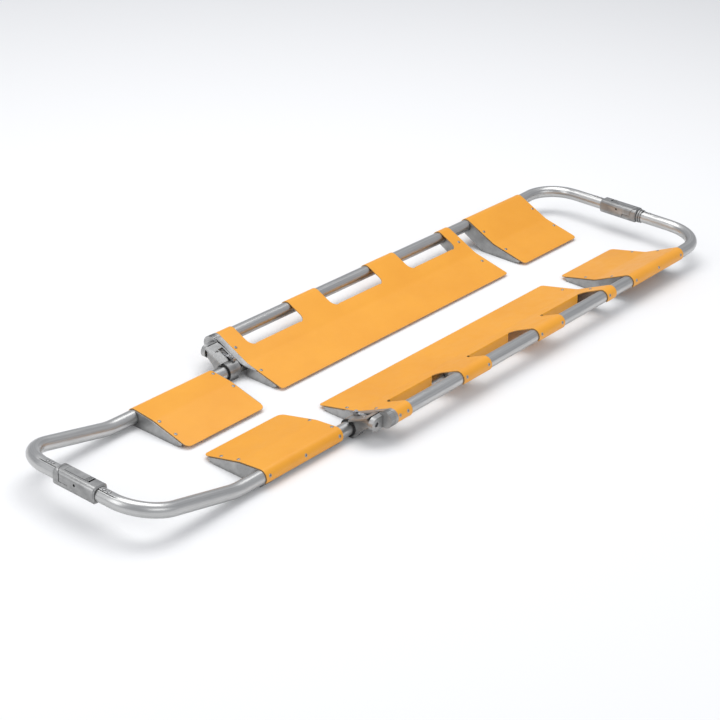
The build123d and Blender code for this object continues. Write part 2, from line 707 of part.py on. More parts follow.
PIN_RECESS = 2.6  # of the latch pin's ends


def envelope(bar_x, bar_z):
    """Rounded section shared by the coupling's blocks and its lever, in an XZ sketch."""
    with Locations((bar_x, bar_z)):
        RectangleRounded(2 * COUPLING_HALF_X, 2 * COUPLING_HALF_Z, 9)


def lap_region(bar_x, radius, y_far, low, high):
    """Solid between two heights: a disk round the knuckle and all that lies beyond it."""
    with BuildPart() as region:
        with BuildSketch(Plane.XY.offset(low)):
            with Locations((bar_x, KNUCKLE_Y)):
                Circle(radius)
            with Locations((bar_x, (KNUCKLE_Y + y_far) / 2)):
                Rectangle(60, abs(y_far - KNUCKLE_Y))
        extrude(amount=high - low)
    return region.part


def block(bar_x, bar_z, closed):
    """Coupling block with the upper lug; closed gives a round eye, otherwise an open slot."""
    nose = KNUCKLE_Y + KNUCKLE_R
    with BuildPart() as part:
        with BuildSketch(Plane.XZ.offset(-nose)):
            envelope(bar_x, bar_z)
        extrude(amount=nose + COUPLING_END_Y)
        chamfer(part.faces().sort_by(Axis.Y)[0].edges(), 2.5)
        # the upper lug's round nose, and the hollow for the jaw's lower lug
        with BuildSketch(Plane.XY.offset(bar_z - 40)):
            with Locations((bar_x, KNUCKLE_Y + 20)):
                Rectangle(60, 40)
            with Locations((bar_x, KNUCKLE_Y)):
                Circle(KNUCKLE_R, mode=Mode.SUBTRACT)
        extrude(amount=80, mode=Mode.SUBTRACT)
        hollow_r = KNUCKLE_R + KNUCKLE_GAP
        hollow_top = bar_z + PARTING + KNUCKLE_GAP / 2
        add(lap_region(bar_x, hollow_r, 60, bar_z - 40, hollow_top), mode=Mode.SUBTRACT)
        # room for the stud
        with BuildSketch(Plane.XY.offset(bar_z + PARTING - 1)):
            with Locations((bar_x, KNUCKLE_Y)):
                Circle(STUD_R + (RUNNING_FIT if closed else KNUCKLE_GAP))
            if not closed:
                with Locations((bar_x, KNUCKLE_Y + 15)):
                    Rectangle(2 * (STUD_R + KNUCKLE_GAP), 30)
        extrude(amount=7.5 - PARTING + 1, mode=Mode.SUBTRACT)
        # pocket for the latch lever, its thumb travel and its hub
        for y0, y1, floor in (LEVER_POCKET, THUMB_POCKET, HUB_POCKET):
            with BuildSketch(Plane.XY.offset(bar_z + floor)):
                with Locations((bar_x + (LATCH_X[0] + LATCH_X[1]) / 2, (y0 + y1) / 2)):
                    Rectangle(LATCH_X[1] - LATCH_X[0] + 2 * LATCH_GAP, y1 - y0)
            extrude(amount=20, mode=Mode.SUBTRACT)
        # pin bore right across, tube socket and shank
        with BuildSketch(Plane.YZ.offset(bar_x - 20)):
            with Locations((LEVER_PIN_Y, bar_z + LEVER_PIN_Z)):
                Circle(LATCH_PIN_R)
        extrude(amount=40, mode=Mode.SUBTRACT)
        with BuildSketch(Plane.XZ.offset(40)):
            with Locations((bar_x, bar_z)):
                Circle(TUBE_R)
        extrude(amount=20, mode=Mode.SUBTRACT)
        with BuildSketch(Plane.XZ.offset(38)):
            with Locations((bar_x, bar_z)):
                Circle(SHANK_R)
        extrude(amount=SHANK_END_Y - 38)
    return part.part


def jaw(bar_x, bar_z, collar_rings):
    """Coupling jaw with the lower lug, its stud and a shank inside the tube."""
    with BuildPart() as part:
        with BuildSketch(Plane.XZ.offset(-JAW_END_Y)):
            envelope(bar_x, bar_z)
        extrude(amount=JAW_END_Y)
        chamfer(part.faces().sort_by(Axis.Y)[-1].edges(), 2.0)
        lug_top = bar_z + PARTING - KNUCKLE_GAP / 2
        with BuildSketch(Plane.XY.offset(bar_z - 40)):
            with Locations((bar_x, KNUCKLE_Y - 20)):
                Rectangle(60, 40)
            with Locations((bar_x, KNUCKLE_Y)):
                Circle(KNUCKLE_R, mode=Mode.SUBTRACT)
        extrude(amount=80, mode=Mode.SUBTRACT)
        with BuildSketch(Plane.XY.offset(lug_top)):
            with Locations((bar_x, KNUCKLE_Y)):
                Circle(KNUCKLE_R + KNUCKLE_GAP)
            with Locations((bar_x, KNUCKLE_Y - 20)):
                Rectangle(60, 40)
        extrude(amount=60, mode=Mode.SUBTRACT)
        with BuildSketch(Plane.XY.offset(lug_top - 2)):
            with Locations((bar_x, KNUCKLE_Y)):
                Circle(STUD_R)
        extrude(amount=7.2 - PARTING + 2.2)
        with BuildSketch(Plane.XZ.offset(-38)):
            with Locations((bar_x, bar_z)):
                Circle(SHANK_R)
        extrude(amount=38 - SHANK_END_Y)
        end_y = JAW_END_Y
        if collar_rings:
            for y0, radius, length in COLLAR_RINGS:
                with BuildSketch(Plane.XZ.offset(-y0)):
                    with Locations((bar_x, bar_z)):
                        Circle(radius)
                extrude(amount=-length)
            end_y = COLLAR_END_Y
        with BuildSketch(Plane.XZ.offset(-40)):
            with Locations((bar_x, bar_z)):
                Circle(TUBE_R)
                Circle(SHANK_R, mode=Mode.SUBTRACT)
        extrude(amount=40 - end_y - 1, mode=Mode.SUBTRACT)
    return part.part


def latch_lever(bar_x, bar_z):
    """Rocking latch lever set flush in the block's top, with a hub and a thumb ridge."""
    with BuildPart() as part:
        with BuildSketch(Plane.XZ.offset(-LATCH_Y[1])):
            envelope(bar_x, bar_z)
            with Locations((bar_x + (LATCH_X[0] + LATCH_X[1]) / 2, bar_z + POCKET_FLOOR + 0.2 + 10)):
                Rectangle(LATCH_X[1] - LATCH_X[0], 20, mode=Mode.INTERSECT)
        extrude(amount=LATCH_Y[1] - LATCH_Y[0])
        with BuildSketch(Plane.YZ.offset(bar_x + LATCH_X[0])):
            with Locations((LEVER_PIN_Y, bar_z + LEVER_PIN_Z)):
                Circle(HUB_R)
            with Locations((LEVER_PIN_Y, bar_z + 8)):
                Rectangle(2 * HUB_R, 6)
        extrude(amount=LATCH_X[1] - LATCH_X[0] - 3)
        with BuildSketch(Plane.YZ.offset(bar_x - 20)):
            with Locations((LEVER_PIN_Y, bar_z + LEVER_PIN_Z)):
                Circle(LATCH_PIN_R + RUNNING_FIT)
        extrude(amount=40, mode=Mode.SUBTRACT)
        # grip grooves across the thumb end
        for y in GRIP_GROOVES_Y:
            with BuildSketch(Plane.YZ.offset(bar_x - 20)):
                with Locations((y, bar_z + COUPLING_HALF_Z)):
                    Rectangle(1.0, 1.2)
            extrude(amount=40, mode=Mode.SUBTRACT)
    return part.part


def latch_pin(bar_x, bar_z):
    """Cross pin of a latch lever."""
    with BuildPart() as part:
        with BuildSketch(Plane.YZ.offset(bar_x - COUPLING_HALF_X + PIN_RECESS)):
            with Locations((LEVER_PIN_Y, bar_z + LEVER_PIN_Z)):
                Circle(LATCH_PIN_R)
        extrude(amount=2 * COUPLING_HALF_X - 2 * PIN_RECESS)
    return part.part


def latch_spring(bar_x, bar_z):
    """Short compression spring under the thumb end, as a stack of close coils."""
    with BuildPart() as part:
        with BuildSketch(Plane.XY.offset(bar_z + 4.0)):
            with Locations((bar_x + 5, -20)):
                Circle(3.4)
                Circle(2.2, mode=Mode.SUBTRACT)
        extrude(amount=POCKET_FLOOR + 0.2 - 4.0)
    return part.part


TUBE_RIVET_Y = (57.0, 68.0)


def coupling_rivets(bar_x, bar_z, side):
    """Two rivet heads on top of the tube, over the shank inside it."""
    z = bar_z + TUBE_R - 0.4
    return [
        seated_rivet(
            (bar_x, side * y, z),
            (0, 0, 1),
            Plane(origin=(bar_x, side * y, bar_z), z_dir=(0, 1, 0)),
            TUBE_R,
        )
        for y in TUBE_RIVET_Y
    ]


def flip(piece):
    """Mirror image across the stretcher's middle plane."""
    return mirror(piece, about=Plane.XZ)


for end, bar_x, bar_z, closed in (
    ("foot", FOOT_BAR_X, FOOT_BAR_Z, False),
    ("head", HEAD_BAR_X, HEAD_BAR_Z, True),
):
    turn = flip if closed else (lambda piece: piece)
    save(turn(block(bar_x, bar_z, closed)), f"{end}_coupling_block")
    save(turn(jaw(bar_x, bar_z, closed)), f"{end}_coupling_jaw")
    save(turn(latch_lever(bar_x, bar_z)), f"{end}_latch_lever")
    save(turn(latch_pin(bar_x, bar_z)), f"{end}_latch_pin")
    save(turn(latch_spring(bar_x, bar_z)), f"{end}_latch_spring")
    save(group(coupling_rivets(bar_x, bar_z, 1)), f"{end}_tube_rivets_left")
    save(group(coupling_rivets(bar_x, bar_z, -1)), f"{end}_tube_rivets_right")

# ---------------------------------------------------------------- rivets
MAIN_RIVET_X = (-277.0, 424.0)
MAIN_RIVET_Y = (100.0, 163.0)
HEAD_RIVET_X = (513.0, 702.0)
HEAD_RIVET_Y = (100.0, 160.0)
FOOT_RIVETS = ((-549.0, 52.0), (-549.0, 90.0), (-365.0, 88.0), (-365.0, 137.0))
MAIN_WRAP_X = (-278.0, -256.0, -80.0, -12.0, 165.0, 236.0, 412.0)
HEAD_WRAP_X = (516.0, 607.0, 699.0)
FOOT_WRAP_X = (-547.0, -457.0, -368.0)
WRAP_RIVET_ANGLE = 20.0

main_heads = panel_rivets([(x, y) for x in MAIN_RIVET_X for y in MAIN_RIVET_Y], MAIN_ROWS)
head_heads = panel_rivets([(x, y) for x in HEAD_RIVET_X for y in HEAD_RIVET_Y], HEAD_ROWS)
foot_heads = panel_rivets(FOOT_RIVETS, FOOT_ROWS)
main_wrap = wrap_rivets(MAIN_WRAP_X, MAIN_CENTRE, WRAP_RIVET_ANGLE)
head_wrap = wrap_rivets(HEAD_WRAP_X, MAIN_CENTRE, WRAP_RIVET_ANGLE)
foot_wrap = wrap_rivets(FOOT_WRAP_X, FOOT_CENTRE, WRAP_RIVET_ANGLE)
save_pair(group(main_heads + main_wrap), "main_panel_rivets")
save_pair(group(head_heads + head_wrap), "head_panel_rivets")
save_pair(group(foot_heads + foot_wrap), "foot_panel_rivets")
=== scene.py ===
# %% [markdown]
# # Scoop stretcher
#
# A scoop stretcher is two long halves of bent aluminium tube with sheet panels riveted to them.
# The halves slide under a person from both sides and latch together at the foot and the head.
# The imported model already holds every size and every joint. This lesson makes the finished
# surfaces round it: folded sheet, drawn tube, tumbled castings, blind rivets and coiled springs.

import json
from math import cos, degrees, hypot, pi, radians, sin, tan

import bmesh
import bpy
import numpy as np
from mathutils import Matrix, Vector
from mathutils.kdtree import KDTree


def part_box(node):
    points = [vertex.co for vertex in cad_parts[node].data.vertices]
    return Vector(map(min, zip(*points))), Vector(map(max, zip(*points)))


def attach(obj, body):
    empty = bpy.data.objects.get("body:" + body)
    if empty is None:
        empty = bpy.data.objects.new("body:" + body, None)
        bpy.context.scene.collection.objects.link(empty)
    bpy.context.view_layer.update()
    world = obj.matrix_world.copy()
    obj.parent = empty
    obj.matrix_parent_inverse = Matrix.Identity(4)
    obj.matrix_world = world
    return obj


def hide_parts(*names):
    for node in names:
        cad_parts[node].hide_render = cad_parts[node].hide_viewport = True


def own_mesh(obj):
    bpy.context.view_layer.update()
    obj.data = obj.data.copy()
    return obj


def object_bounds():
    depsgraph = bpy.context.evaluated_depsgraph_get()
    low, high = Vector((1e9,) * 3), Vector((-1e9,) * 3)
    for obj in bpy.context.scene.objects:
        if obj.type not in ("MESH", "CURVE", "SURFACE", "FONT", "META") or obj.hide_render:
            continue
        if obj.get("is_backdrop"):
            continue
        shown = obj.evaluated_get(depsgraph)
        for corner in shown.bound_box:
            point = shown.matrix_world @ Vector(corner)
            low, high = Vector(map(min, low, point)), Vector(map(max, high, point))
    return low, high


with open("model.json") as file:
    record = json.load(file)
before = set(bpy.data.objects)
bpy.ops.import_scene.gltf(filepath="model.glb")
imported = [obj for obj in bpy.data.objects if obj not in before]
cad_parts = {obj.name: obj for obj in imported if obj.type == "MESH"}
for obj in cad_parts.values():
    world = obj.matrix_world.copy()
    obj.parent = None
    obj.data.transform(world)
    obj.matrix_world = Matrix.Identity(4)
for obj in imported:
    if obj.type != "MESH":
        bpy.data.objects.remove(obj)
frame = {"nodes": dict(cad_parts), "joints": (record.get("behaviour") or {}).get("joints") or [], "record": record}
cad_low, cad_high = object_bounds()
mm = 0.001
SIDES = ("left", "right")
print("closed size in metres:", [round(v, 4) for v in cad_high - cad_low])

# %% [markdown]
# ## The camera
#
# A long lens from the foot end flattens the perspective of such a long, low object. It could be
# aimed with a Track To constraint, but the slight roll is easier to add to a plain rotation, so
# the camera's three axes are worked out from the azimuth, the elevation and the roll.

# %% Camera
AZIMUTH = radians(-53.293)
ELEVATION = radians(27.026)
ROLL = radians(3.902)
DISTANCE = 3.2553
AIM_FROM_MIDDLE = Vector((-0.0839, 0.0228, -0.0396))
LENS_MM = 86.94
SENSOR_MM = 36.0


def axis_matrix(right, up, back):
    """Rotation whose columns are three axes."""
    return Matrix((right, up, back)).transposed()


back = Vector(
    (sin(AZIMUTH) * cos(ELEVATION), -cos(AZIMUTH) * cos(ELEVATION), sin(ELEVATION))
)
level_right = Vector((0, 0, 1)).cross(back).normalized()
level_up = back.cross(level_right)
right = cos(ROLL) * level_right + sin(ROLL) * level_up
up = cos(ROLL) * level_up - sin(ROLL) * level_right
aim = (cad_low + cad_high) / 2 + AIM_FROM_MIDDLE

camera_data = bpy.data.cameras.new("camera")
camera_data.lens = LENS_MM
camera_data.sensor_width = SENSOR_MM
camera = bpy.data.objects.new("camera", camera_data)
bpy.context.scene.collection.objects.link(camera)
camera.matrix_world = Matrix.Translation(aim + back * DISTANCE) @ axis_matrix(
    right, up, back
).to_4x4()
bpy.context.scene.camera = camera
print("camera at", [round(v, 3) for v in camera.location])

# %% [markdown]
# ## Floor and light
#
# Bare metal only looks like metal when it has something to reflect. A white floor, a pale grey
# room and a few broad lamps give the tubes long soft highlights without hard shadows.

# %% Floor and lights
bpy.context.scene.view_settings.view_transform = "Standard"
FLOOR_HALF = 14.0


def shader(name):
    """A new material, its node tree and its main shader."""
    material = bpy.data.materials.new(name)
    material.use_nodes = True
    return material, material.node_tree, material.node_tree.nodes["Principled BSDF"]


floor_finish, _, floor_shader = shader("pale_floor")
floor_shader.inputs["Base Color"].default_value = (0.93, 0.93, 0.93, 1)
floor_shader.inputs["Roughness"].default_value = 0.9
floor_shader.inputs["Specular IOR Level"].default_value = 0.1

floor_mesh = bpy.data.meshes.new("floor")
corners = [(-1, -1), (1, -1), (1, 1), (-1, 1)]
floor_mesh.from_pydata(
    [(x * FLOOR_HALF, y * FLOOR_HALF, cad_low.z) for x, y in corners],
    [],
    [(0, 1, 2, 3)],
)
floor = bpy.data.objects.new("floor", floor_mesh)
floor_mesh.materials.append(floor_finish)
bpy.context.scene.collection.objects.link(floor)
floor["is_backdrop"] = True

world = bpy.data.worlds.new("studio")
world.use_nodes = True
WORLD_COLOUR = (0.93, 0.95, 1.0, 1)
WORLD_STRENGTH = 0.56
world.node_tree.nodes["Background"].inputs["Color"].default_value = WORLD_COLOUR
world.node_tree.nodes["Background"].inputs["Strength"].default_value = WORLD_STRENGTH
bpy.context.scene.world = world


def lamp(name, spot, size, watts):
    """A broad soft lamp that faces the middle of the object."""
    data = bpy.data.lights.new(name, "AREA")
    data.shape = "RECTANGLE"
    data.size, data.size_y = size
    data.energy = watts
    holder = bpy.data.objects.new(name, data)
    holder.location = spot
    holder.rotation_mode = "QUATERNION"
    holder.rotation_quaternion = (-Vector(spot)).to_track_quat("-Z", "Y")
    bpy.context.scene.collection.objects.link(holder)


lamp("overhead", (0.3, 0.6, 3.2), (3.4, 2.2), 66)
lamp("foot_side", (-3.2, 0.9, 1.8), (1.6, 2.4), 22)
lamp("camera_side", (-0.6, -3.4, 2.2), (3.0, 1.0), 18)

# %% [markdown]
# ## Finishes
#
# Every finish starts from Blender's Principled shader. The grain, the wear and the small waves of
# the surface come from noise in the object's own coordinates, so that nothing slides when a part
# moves. Small helpers keep each recipe short enough to read.

# %% Node helpers
def link(tree, source, target):
    """Join two sockets."""
    tree.links.new(source, target)


def coordinates(tree, scale, attribute=None):
    """Scaled object coordinates, or a mesh attribute read as coordinates."""
    if attribute:
        source = tree.nodes.new("ShaderNodeAttribute")
        source.attribute_name = attribute
        vector = source.outputs["Vector"]
    else:
        vector = tree.nodes.new("ShaderNodeTexCoord").outputs["Object"]
    mapping = tree.nodes.new("ShaderNodeMapping")
    mapping.inputs["Scale"].default_value = scale
    link(tree, vector, mapping.inputs["Vector"])
    return mapping.outputs["Vector"]


def noise(tree, vector, detail=3.0, roughness=0.5):
    """Soft noise between 0 and 1."""
    node = tree.nodes.new("ShaderNodeTexNoise")
    node.inputs["Scale"].default_value = 1.0
    node.inputs["Detail"].default_value = detail
    node.inputs["Roughness"].default_value = roughness
    link(tree, vector, node.inputs["Vector"])
    return node.outputs["Fac"]


def spread(tree, value, low, high, to_low, to_high):
    """Stretch a value from one range to another, and clamp it there."""
    node = tree.nodes.new("ShaderNodeMapRange")
    for socket, number in zip(
        ("From Min", "From Max", "To Min", "To Max"), (low, high, to_low, to_high)
    ):
        node.inputs[socket].default_value = number
    link(tree, value, node.inputs["Value"])
    return node.outputs["Result"]


def combine(tree, operation, a, b):
    """Arithmetic on two values; b may be a plain number."""
    node = tree.nodes.new("ShaderNodeMath")
    node.operation = operation
    link(tree, a, node.inputs[0])
    if isinstance(b, (int, float)):
        node.inputs[1].default_value = b
    else:
        link(tree, b, node.inputs[1])
    return node.outputs["Value"]


def blend_colours(tree, share, first, second):
    """Mix two colours by a share; either may be a colour or a socket."""
    node = tree.nodes.new("ShaderNodeMix")
    node.data_type = "RGBA"
    link(tree, share, node.inputs["Factor"])
    for socket, colour in ((node.inputs[6], first), (node.inputs[7], second)):
        if isinstance(colour, tuple):
            socket.default_value = (*colour, 1)
        else:
            link(tree, colour, socket)
    return node.outputs[2]


def bump(tree, height, depth, under=None):
    """Bump from a height; depth is in metres. Bumps can be stacked with under."""
    node = tree.nodes.new("ShaderNodeBump")
    node.inputs["Strength"].default_value = 1.0
    node.inputs["Distance"].default_value = depth
    link(tree, height, node.inputs["Height"])
    if under:
        link(tree, under, node.inputs["Normal"])
    return node.outputs["Normal"]


# %% [markdown]
# ### Powder coat
#
# The panels are sheet aluminium with a satin orange-yellow powder coat. Up close a powder coat is
# not flat: it has the shallow waves of orange peel, patches that are rubbed a little shinier, and
# bare metal along edges that scrape over the ground. The distance to the sheet's edge is stored in
# the mesh, so that the rubbed rim follows the real edge.

# %% Powder coat
def powder_coat():
    material, tree, coat = shader("orange_powder_coat")
    broad = noise(tree, coordinates(tree, (7, 9, 9)), 4, 0.55)
    patches = noise(tree, coordinates(tree, (38, 45, 45)), 5, 0.6)
    peel = noise(tree, coordinates(tree, (620, 620, 620)), 2)
    colour = blend_colours(
        tree,
        spread(tree, broad, 0.35, 0.65, 0, 1),
        (0.85, 0.352, 0.016),
        (0.895, 0.388, 0.022),
    )
    scrapes = noise(tree, coordinates(tree, (26, 240, 240)), 4, 0.7)
    scraped = spread(tree, scrapes, 0.66, 0.74, 0, 0.35)
    colour = blend_colours(tree, scraped, colour, (0.91, 0.45, 0.07))
    inset = tree.nodes.new("ShaderNodeAttribute")
    inset.attribute_name = "inset"
    ragged = combine(
        tree, "MULTIPLY", noise(tree, coordinates(tree, (300, 300, 300)), 4, 0.7), 0.0016
    )
    rubbed = spread(
        tree, combine(tree, "SUBTRACT", ragged, inset.outputs["Fac"]), 0.0004, 0.0009, 0, 0.75
    )
    colour = blend_colours(tree, rubbed, colour, (0.36, 0.25, 0.12))
    link(tree, colour, coat.inputs["Base Color"])
    link(tree, spread(tree, patches, 0.3, 0.7, 0.36, 0.5), coat.inputs["Roughness"])
    coat.inputs["Coat Weight"].default_value = 0.1
    coat.inputs["Coat Roughness"].default_value = 0.28
    link(
        tree,
        bump(tree, peel, 0.00006, bump(tree, scraped, 0.00003)),
        coat.inputs["Normal"],
    )
    return material


# %% [markdown]
# ### Drawn tube
#
# The tubes are drawn through a die, which leaves very fine lines along their length. A brushed
# picture texture could do it, but it would stretch in the bends. Here the mesh carries its own
# coordinates, round and along the tube, and the noise is squeezed across and stretched along.
# The ambient occlusion node paints shade into grooves and joints, darkening what lies close together.

# %% Drawn tube
def drawn_tube():
    material, tree, metal = shader("satin_drawn_tube")
    lines = noise(tree, coordinates(tree, (2600, 2600, 9), "drawn"), 3, 0.6)
    streaks = noise(tree, coordinates(tree, (420, 420, 3), "drawn"), 3, 0.6)
    clouds = noise(tree, coordinates(tree, (30, 30, 14), "drawn"), 4, 0.6)
    nicks = noise(tree, coordinates(tree, (160, 160, 260), "drawn"), 5, 0.75)
    colour = blend_colours(
        tree,
        spread(tree, streaks, 0.3, 0.7, 0, 1),
        (0.47, 0.47, 0.465),
        (0.60, 0.60, 0.59),
    )
    dulled = spread(tree, clouds, 0.45, 0.7, 0, 0.4)
    colour = blend_colours(tree, dulled, colour, (0.42, 0.42, 0.415))
    nicked = spread(tree, nicks, 0.70, 0.76, 0, 0.5)
    colour = blend_colours(tree, nicked, colour, (0.30, 0.30, 0.30))
    # Painted shade: ambient occlusion darkens grooves and joints towards near black.
    painted_shade_occlusion = tree.nodes.new("ShaderNodeAmbientOcclusion")
    painted_shade_occlusion.inputs["Distance"].default_value = 0.005
    painted_shade_occlusion.samples = 6
    shade = spread(tree, painted_shade_occlusion.outputs["AO"], 0.4, 0.92, 0.85, 0)
    colour = blend_colours(tree, shade, colour, (0.05, 0.05, 0.05))
    link(tree, colour, metal.inputs["Base Color"])
    metal.inputs["Metallic"].default_value = 1.0
    rough = combine(
        tree,
        "ADD",
        spread(tree, streaks, 0.3, 0.7, 0.28, 0.36),
        spread(tree, clouds, 0.4, 0.7, 0.0, 0.10),
    )
    link(tree, rough, metal.inputs["Roughness"])
    link(
        tree,
        bump(tree, lines, 0.000012, bump(tree, nicked, -0.00004)),
        metal.inputs["Normal"],
    )
    return material


# %% [markdown]
# ### Castings, steel and nylon
#
# The end fittings are die castings that were tumbled: a fine even grain and edges that are polished
# bright. The corners get painted shade, and the edges are brightened partly for that polish and
# partly as a painted highlight. The ambient occlusion node finds the corners and the pointiness of
# the mesh finds the edges.

# %% Castings, steel and nylon
def grained_metal(name, dark, light, rough, grain_scale, grain_depth, brush=(1, 1, 1)):
    """Metal with a fine grain, painted shade in its corners, and edges brightened by polish and a painted
    highlight.
    """
    material, tree, metal = shader(name)
    patches = noise(tree, coordinates(tree, (60, 60, 60)), 5, 0.65)
    grain = noise(
        tree, coordinates(tree, tuple(grain_scale * b for b in brush)), 3, 0.7
    )
    colour = blend_colours(
        tree, spread(tree, patches, 0.3, 0.7, 0, 1), dark, light
    )
    # Painted shade: ambient occlusion darkens corners and crevices towards a near-black copy of the dark tone.
    corner = tree.nodes.new("ShaderNodeAmbientOcclusion")
    corner.inputs["Distance"].default_value = 0.007
    corner.samples = 6
    painted_corner_shade = spread(tree, corner.outputs["AO"], 0.35, 0.95, 0.75, 0)
    colour = blend_colours(tree, painted_corner_shade, colour, tuple(0.22 * c for c in dark))
    # Partly polish wear and partly a painted highlight: pointiness brightens the edges.
    point = tree.nodes.new("ShaderNodeNewGeometry").outputs["Pointiness"]
    edge = combine(tree, "MULTIPLY", spread(tree, point, 0.52, 0.60, 0, 0.8), patches)
    colour = blend_colours(tree, edge, colour, tuple(min(1, 1.45 * c) for c in light))
    link(tree, colour, metal.inputs["Base Color"])
    metal.inputs["Metallic"].default_value = 1.0
    link(
        tree,
        spread(tree, grain, 0.3, 0.7, rough - 0.06, rough + 0.08),
        metal.inputs["Roughness"],
    )
    link(tree, bump(tree, grain, grain_depth), metal.inputs["Normal"])
    return material


def black_nylon():
    material, tree, plastic = shader("black_nylon")
    grain = noise(tree, coordinates(tree, (900, 900, 900)), 3, 0.6)
    clouds = noise(tree, coordinates(tree, (80, 80, 80)), 4, 0.6)
    colour = blend_colours(
        tree, spread(tree, clouds, 0.3, 0.7, 0, 1), (0.012, 0.012, 0.013), (0.03, 0.03, 0.03)
    )
    link(tree, colour, plastic.inputs["Base Color"])
    link(tree, spread(tree, grain, 0.3, 0.7, 0.38, 0.55), plastic.inputs["Roughness"])
    link(tree, bump(tree, grain, 0.00004), plastic.inputs["Normal"])
    return material


FINISH = {
    "panel": powder_coat(),
    "tube": drawn_tube(),
    "casting": grained_metal(
        "tumbled_casting", (0.26, 0.26, 0.258), (0.40, 0.40, 0.395), 0.42, 900, 0.00007
    ),
    "lever": grained_metal(
        "brushed_lever", (0.36, 0.36, 0.355), (0.50, 0.50, 0.49), 0.34, 700, 0.00003, (1, 0.12, 1)
    ),
    "steel": grained_metal(
        "zinc_plated_steel", (0.40, 0.40, 0.40), (0.55, 0.55, 0.56), 0.28, 1400, 0.00002
    ),
    "spring_steel": grained_metal(
        "drawn_wire", (0.26, 0.26, 0.27), (0.40, 0.40, 0.41), 0.3, 1600, 0.00002
    ),
    "rivet": grained_metal(
        "blind_rivet", (0.30, 0.30, 0.30), (0.44, 0.44, 0.44), 0.33, 1200, 0.00003
    ),
    "nylon": black_nylon(),
}
print("finishes:", sorted(FINISH))

# %% [markdown]
# ## Putting a piece in place
#
# Each finished piece stands for one CAD node, rides on that node's body and takes its finish from
# the same slot of the record. One function does all three, so that no piece is left behind when
# a joint moves.

# %% Piece helpers
SLOT_OF = {
    row["node"]: row["material_slot"] for row in frame["record"]["subparts"]
}
BODY_OF = {
    node: body
    for body, nodes in frame["record"]["behaviour"]["bodies"].items()
    for node in nodes
}


def object_from(name, mesh, sharp=35.0):
    """An object with smooth shading that stays crisp at sharp edges."""
    mesh.polygons.foreach_set("use_smooth", [True] * len(mesh.polygons))
    mesh.set_sharp_from_angle(angle=radians(sharp))
    piece = bpy.data.objects.new(name, mesh)
    bpy.context.scene.collection.objects.link(piece)
    return piece


def stand_for(piece, node):
    """Give a piece the finish and the body of the CAD node that it replaces."""
    slot = SLOT_OF[node]
    piece.data.materials.clear()
    piece.data.materials.append(FINISH[slot])
    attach(piece, BODY_OF[node])
    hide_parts(node)
    return piece


def mirror_mesh(mesh, name):
    """The mirror image of a mesh across the stretcher's middle plane."""
    twin = mesh.copy()
    twin.name = name
    twin.transform(Matrix.Diagonal((1, -1, 1, 1)))
    twin.flip_normals()
    return twin


def soften(piece, width, angle=32.0, segments=2):
    """Round the sharp edges of a piece, as a real edge always is."""
    bevel = piece.modifiers.new("soft_edges", "BEVEL")
    bevel.width = width
    bevel.segments = segments
    bevel.limit_method = "ANGLE"
    bevel.angle_limit = radians(angle)
    bevel.harden_normals = True


def bake_modifiers(piece):
    """Replace a piece's mesh by the one that its modifiers make."""
    evaluated = piece.evaluated_get(bpy.context.evaluated_depsgraph_get())
    baked = bpy.data.meshes.new_from_object(evaluated)
    piece.modifiers.clear()
    piece.data = baked
    return piece


# %% [markdown]
# A bent tube and the bend of a sheet follow the same kind of line: straight runs joined by arcs
# that touch both. One function makes it for both.

# %% Straight runs and arcs
def centreline(points, radii, arc_step=4.0, longest=0.02):
    """Points along straight runs joined by tangent arcs, no further apart than longest."""
    points = [Vector(p) for p in points]
    line = [points[0]]

    def run_to(target):
        start = line[-1]
        count = max(1, int(np.ceil((target - start).length / longest)))
        line.extend(start.lerp(target, (i + 1) / count) for i in range(count))

    for before, corner, after, radius in zip(points, points[1:], points[2:], radii):
        a = (before - corner).normalized()
        b = (after - corner).normalized()
        turn = pi - a.angle(b)
        reach = radius * tan(turn / 2)
        middle = corner + (a + b).normalized() * (radius / cos(turn / 2))
        start, end = corner + a * reach - middle, corner + b * reach - middle
        run_to(middle + start)
        count = max(2, int(np.ceil(degrees(turn) / arc_step)))
        for i in range(1, count + 1):
            t = i / count
            mixed = start * sin((1 - t) * turn) + end * sin(t * turn)
            line.append(middle + mixed / sin(turn))
    run_to(points[-1])
    return line


# %% [markdown]
# ## Sheet panels
#
# Each panel is one sheet, cut flat and folded: a shallow slope, a bend, a steeper slope, and a
# wrap round the rail. The outline could be cut out of a folded sheet with a Boolean, but that
# leaves long thin triangles. Instead the flat outline is laid out as a grid whose lines run
# through every corner, and then each grid point is moved to its place in the folded section. The
# Solidify modifier gives it the thickness of the sheet.

# %% The folded section
TUBE_R = 12.7 * mm
SHEET = 1.6 * mm
PAINT_GAP = 0.3 * mm
WRAP_R = TUBE_R + PAINT_GAP + SHEET
WRAP_END = -35.0  # degrees above level where the wrap stops
KNEE_R = 45 * mm

rail_low, rail_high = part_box("left_side_rail")
tube_low, tube_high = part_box("left_foot_tube")
MAIN_RAIL = (rail_high.y - TUBE_R, rail_low.z + TUBE_R)
FOOT_RAIL = (tube_high.y - TUBE_R, tube_low.z + TUBE_R)
MAIN_KNEE = (127.0 * mm, 25.6 * mm)
FOOT_KNEE = (98.0 * mm, 27.0 * mm)
INNER_Z = {"main_panel": 6.0 * mm, "head_panel": 6.6 * mm, "foot_panel": 7.0 * mm}


def landing_angle(knee, centre):
    """Where a straight slope from the knee meets the top of the wrap, in degrees."""
    dy, dz = centre[0] - knee[0], centre[1] - knee[1]
    reach = hypot(dy, dz)
    return 90 + degrees(np.arctan2(dz, dy)) + degrees(np.arcsin(WRAP_R / reach))


